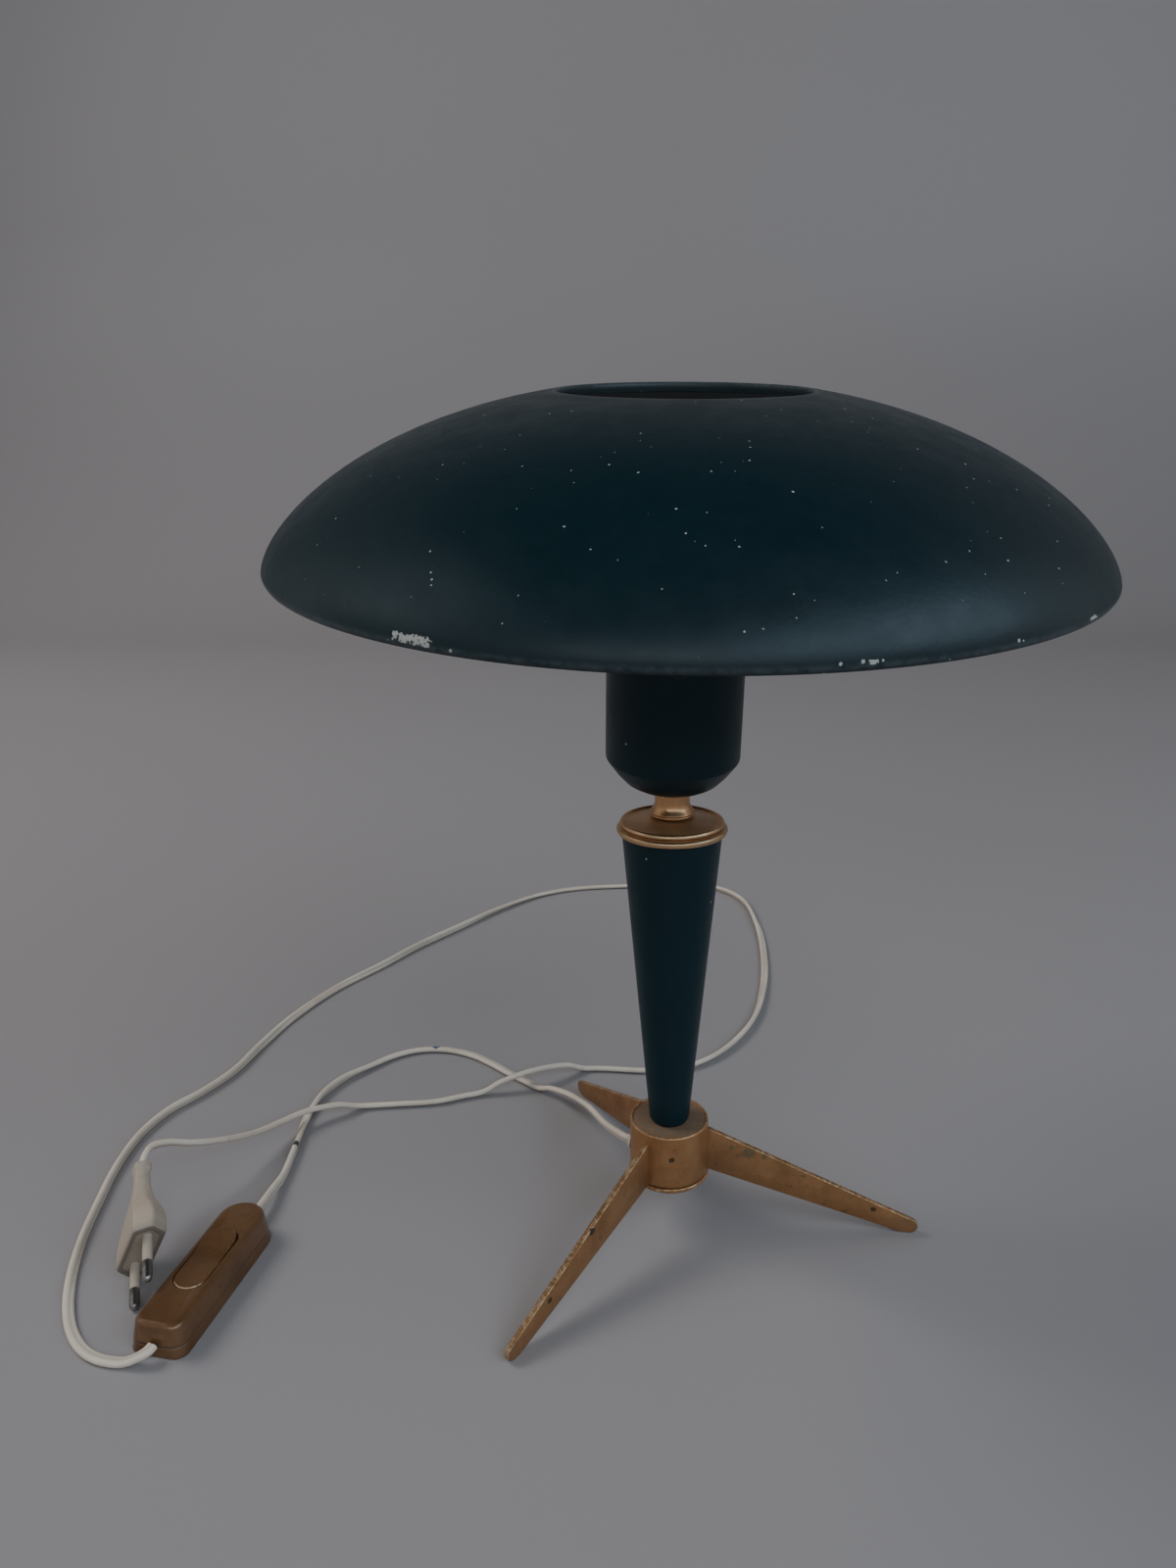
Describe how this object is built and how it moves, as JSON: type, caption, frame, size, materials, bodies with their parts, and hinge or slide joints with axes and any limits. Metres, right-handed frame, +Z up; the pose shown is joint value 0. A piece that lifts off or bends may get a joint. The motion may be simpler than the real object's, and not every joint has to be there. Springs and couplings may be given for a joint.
{
  "type": "tripod table lamp",
  "caption": "Table lamp with a wide open-topped dome shade on a ball joint, a tapered column and a tripod of flat fins, with flex, inline switch and plug.",
  "frame": {"origin": "on the column's axis, in the plane the three feet stand on", "axes": "+Z up the column; +Y towards the back; +X to the right"},
  "size_m": [0.4115, 0.5415, 0.3485],
  "materials": {
    "petrol_lacquer": "satin dark petrol lacquer",
    "gold_paint": "aged gold paint",
    "brass": "aged satin brass",
    "steel": "zinc plated",
    "nylon": "moulded",
    "ceramic": "white ceramic",
    "phenolic": "black moulded",
    "opal_glass": "opal",
    "ivory_flex": "ivory sheath",
    "ivory_vinyl": "ivory moulded",
    "switch_plastic": "gold-brown paint"
  },
  "bodies": {
    "stand": {"leg_1": "gold_paint", "leg_2": "gold_paint", "leg_3": "gold_paint", "hub": "gold_paint", "base_plate": "gold_paint", "plate_screw_1": "steel", "plate_screw_2": "steel", "plate_screw_3": "steel", "cord_bushing": "nylon", "threaded_rod": "steel", "rod_nut": "steel", "rod_washer": "steel", "column_centring_ring": "phenolic", "column": "petrol_lacquer", "collar": "brass", "ball_stud": "brass", "column_lead": "ivory_flex", "cord_hub_to_switch": "ivory_flex", "cord_switch_to_plug": "ivory_flex", "switch_base": "switch_plastic", "switch_cover": "switch_plastic", "rocker_pin": "steel", "switch_contact_fixed": "brass", "switch_contact_moving": "brass", "plug_body": "ivory_vinyl", "pin_sleeve_1": "ivory_vinyl", "pin_sleeve_2": "ivory_vinyl", "plug_pin_1": "steel", "plug_pin_2": "steel"},
    "turn_ring": {"joint_liner_lower": "nylon"},
    "tilt_ring": {"joint_liner_upper": "nylon"},
    "head": {"cup": "petrol_lacquer", "socket_base": "steel", "clamp_ring": "steel", "clamp_screw_1": "steel", "clamp_screw_2": "steel", "clamp_screw_3": "steel", "holder_nipple": "steel", "holder_cap": "phenolic", "holder_core": "ceramic", "holder_sleeve": "phenolic", "holder_contact": "brass", "shade_nut_lower": "phenolic", "shade_nut_upper": "phenolic", "shade_spider": "steel", "spider_screw_1": "steel", "spider_screw_2": "steel", "spider_screw_3": "steel", "shade": "petrol_lacquer", "bulb_glass": "opal_glass", "bulb_cap": "steel", "head_lead": "ivory_flex"},
    "rocker": {"switch_rocker": "switch_plastic"}
  },
  "joints": [
    {"name": "head_turn", "type": "hinge", "parent": "stand", "child": "turn_ring", "pos_m": [0, 0, 0.2111], "axis": [0, 0, 1], "range_deg": [-150, 150]},
    {"name": "head_tilt_forward", "type": "hinge", "parent": "turn_ring", "child": "tilt_ring", "pos_m": [0, 0, 0.2111], "axis": [1, 0, 0], "range_deg": [-18.4, 4.6]},
    {"name": "head_tilt_side", "type": "hinge", "parent": "tilt_ring", "child": "head", "pos_m": [0, 0, 0.2111], "axis": [0, 1, 0], "range_deg": [-12.7, 10.3]},
    {"name": "rocker_tip", "type": "hinge", "parent": "stand", "child": "rocker", "pos_m": [-0.186, -0.0568, 0.0105], "axis": [0.9903, -0.1392, 0], "range_deg": [-6.8, 0]}
  ]
}
